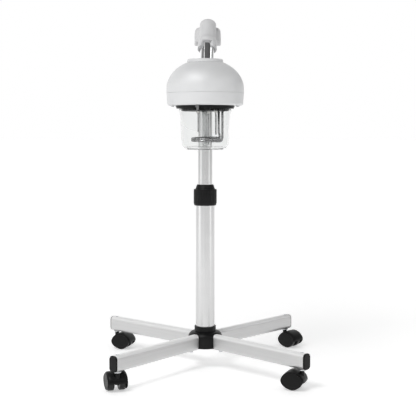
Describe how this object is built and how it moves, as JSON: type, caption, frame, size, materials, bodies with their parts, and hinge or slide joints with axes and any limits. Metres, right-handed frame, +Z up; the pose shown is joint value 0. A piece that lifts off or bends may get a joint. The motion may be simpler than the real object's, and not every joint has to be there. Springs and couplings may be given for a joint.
{
  "type": "facial steamer",
  "caption": "Domed facial steamer head with a hanging clear water jar, heater coil and swivelling steam nozzle, on a telescopic mast with an X base on twin-wheel casters.",
  "frame": {"origin": "on the floor, on the vertical axis of the mast", "axes": "+Z up along the mast, +Y the side that the nozzle points to at rest, +X to the right of someone who looks along +Y"},
  "size_m": [0.5607, 0.5423, 0.9199],
  "materials": {
    "silver_plastic": "satin injection-moulded plastic with a silver-grey finish",
    "nozzle_plastic": "satin silver-grey plastic",
    "black_plastic": "fine-textured black plastic",
    "black_gloss": "smooth black plastic",
    "aluminium": "satin anodised",
    "chrome": "bright",
    "steel": "zinc plated",
    "clear_jar": "clear, smooth",
    "rubber": "soft black",
    "silicone": "translucent white silicone",
    "wheel_plastic": "hard black nylon",
    "white_plastic": "white PTFE",
    "quartz": "clear quartz",
    "board": "green circuit board",
    "lens": "red translucent lens"
  },
  "bodies": {
    "stand": {"hub": "black_plastic", "leg_front_right": "aluminium", "leg_front_left": "aluminium", "leg_rear_left": "aluminium", "leg_rear_right": "aluminium", "leg_end_caps": "black_plastic", "hub_bolts": "steel", "caster_stems": "steel", "lower_tube": "aluminium", "tube_collet": "black_plastic"},
    "caster_front_right": {"caster_hood_front_right": "black_plastic", "caster_axle_front_right": "steel"},
    "wheel_front_right_a": {"caster_wheel_front_right_a": "wheel_plastic"},
    "wheel_front_right_b": {"caster_wheel_front_right_b": "wheel_plastic"},
    "caster_front_left": {"caster_hood_front_left": "black_plastic", "caster_axle_front_left": "steel"},
    "wheel_front_left_a": {"caster_wheel_front_left_a": "wheel_plastic"},
    "wheel_front_left_b": {"caster_wheel_front_left_b": "wheel_plastic"},
    "caster_rear_left": {"caster_hood_rear_left": "black_plastic", "caster_axle_rear_left": "steel"},
    "wheel_rear_left_a": {"caster_wheel_rear_left_a": "wheel_plastic"},
    "wheel_rear_left_b": {"caster_wheel_rear_left_b": "wheel_plastic"},
    "caster_rear_right": {"caster_hood_rear_right": "black_plastic", "caster_axle_rear_right": "steel"},
    "wheel_rear_right_a": {"caster_wheel_rear_right_a": "wheel_plastic"},
    "wheel_rear_right_b": {"caster_wheel_rear_right_b": "wheel_plastic"},
    "lock_collar": {"lock_collar": "black_plastic"},
    "mast_slider": {"mast_bush": "black_plastic"},
    "head": {"upper_tube": "aluminium", "mast_socket": "steel", "base_pan": "silver_plastic", "dome_cover": "silver_plastic", "dome_screws": "steel", "underplate": "black_plastic", "relief_valve": "steel", "boiler_lid": "black_plastic", "steam_riser": "black_gloss", "turret_seal": "silicone", "heater_coil": "chrome", "heater_nuts": "steel", "water_probes": "steel", "probe_glands": "white_plastic", "ozone_lamp": "quartz", "circuit_board": "board", "control_panel": "black_gloss", "switch_housings": "black_gloss", "indicator_lamps": "lens", "power_inlet": "black_plastic", "jar_gasket": "silicone"},
    "power_rocker": {"power_rocker": "black_gloss"},
    "ozone_rocker": {"ozone_rocker": "black_gloss"},
    "jar_lock_ring": {"jar_lock_ring": "black_plastic"},
    "jar": {"jar": "clear_jar"},
    "turret": {"turret": "silver_plastic", "turret_clip": "steel", "arm_tube": "chrome"},
    "nozzle": {"nozzle_elbow": "nozzle_plastic", "nozzle_o_ring": "rubber", "nozzle_hood": "nozzle_plastic", "nozzle_grille": "black_plastic"}
  },
  "joints": [
    {"name": "swivel_front_right", "type": "hinge", "parent": "stand", "child": "caster_front_right", "pos_m": [0.2325, 0.23909, 0.036], "axis": [0, 0, 1], "continuous": true},
    {"name": "spin_front_right_a", "type": "hinge", "parent": "caster_front_right", "child": "wheel_front_right_a", "pos_m": [0.24782, 0.22623, 0.022], "axis": [-0.6428, -0.766, 0], "continuous": true},
    {"name": "spin_front_right_b", "type": "hinge", "parent": "caster_front_right", "child": "wheel_front_right_b", "pos_m": [0.24782, 0.22623, 0.022], "axis": [-0.6428, -0.766, 0], "continuous": true},
    {"name": "swivel_front_left", "type": "hinge", "parent": "stand", "child": "caster_front_left", "pos_m": [-0.25473, 0.21526, 0.036], "axis": [0, 0, 1], "continuous": true},
    {"name": "spin_front_left_a", "type": "hinge", "parent": "caster_front_left", "child": "wheel_front_left_a", "pos_m": [-0.23593, 0.20842, 0.022], "axis": [-0.342, -0.9397, 0], "continuous": true},
    {"name": "spin_front_left_b", "type": "hinge", "parent": "caster_front_left", "child": "wheel_front_left_b", "pos_m": [-0.23593, 0.20842, 0.022], "axis": [-0.342, -0.9397, 0], "continuous": true},
    {"name": "swivel_rear_left", "type": "hinge", "parent": "stand", "child": "caster_rear_left", "pos_m": [-0.21078, -0.25844, 0.036], "axis": [0, 0, 1], "continuous": true},
    {"name": "spin_rear_left_a", "type": "hinge", "parent": "caster_rear_left", "child": "wheel_rear_left_a", "pos_m": [-0.21696, -0.23942, 0.022], "axis": [0.9511, 0.309, 0], "continuous": true},
    {"name": "spin_rear_left_b", "type": "hinge", "parent": "caster_rear_left", "child": "wheel_rear_left_b", "pos_m": [-0.21696, -0.23942, 0.022], "axis": [0.9511, 0.309, 0], "continuous": true},
    {"name": "swivel_rear_right", "type": "hinge", "parent": "stand", "child": "caster_rear_right", "pos_m": [0.235, -0.23664, 0.036], "axis": [0, 0, 1], "continuous": true},
    {"name": "spin_rear_right_a", "type": "hinge", "parent": "caster_rear_right", "child": "wheel_rear_right_a", "pos_m": [0.21632, -0.22947, 0.022], "axis": [0.3584, 0.9336, 0], "continuous": true},
    {"name": "spin_rear_right_b", "type": "hinge", "parent": "caster_rear_right", "child": "wheel_rear_right_b", "pos_m": [0.21632, -0.22947, 0.022], "axis": [0.3584, 0.9336, 0], "continuous": true},
    {"name": "collar_twist", "type": "hinge", "parent": "stand", "child": "lock_collar", "pos_m": [0, 0, 0.455], "axis": [0, 0, 1], "range_deg": [0, 180]},
    {"name": "mast_height", "type": "slide", "parent": "stand", "child": "mast_slider", "axis": [0, 0, 1], "range_m": [-0.06, 0.24]},
    {"name": "mast_turn", "type": "hinge", "parent": "mast_slider", "child": "head", "pos_m": [0, 0, 0.17], "axis": [0, 0, 1], "range_deg": [-180, 180]},
    {"name": "power_switch", "type": "hinge", "parent": "head", "child": "power_rocker", "pos_m": [0.03857, 0.01985, 0.7105], "axis": [0, 0, 1], "range_deg": [0, 12]},
    {"name": "ozone_switch", "type": "hinge", "parent": "head", "child": "ozone_rocker", "pos_m": [-0.03857, 0.01985, 0.7105], "axis": [0, 0, 1], "range_deg": [0, 12]},
    {"name": "lock_ring_twist", "type": "hinge", "parent": "head", "child": "jar_lock_ring", "pos_m": [0, -0.088, 0.686], "axis": [0, 0, 1], "range_deg": [0, 30]},
    {"name": "jar_release", "type": "slide", "parent": "head", "child": "jar", "axis": [0, 0, -1], "range_m": [0, 0.09]},
    {"name": "turret_pan", "type": "hinge", "parent": "head", "child": "turret", "pos_m": [0, -0.071, 0.802], "axis": [0, 0, 1], "continuous": true},
    {"name": "nozzle_swivel", "type": "hinge", "parent": "turret", "child": "nozzle", "pos_m": [0.004, -0.071, 0.802], "axis": [0.0277, 0.5292, 0.848], "continuous": true}
  ]
}
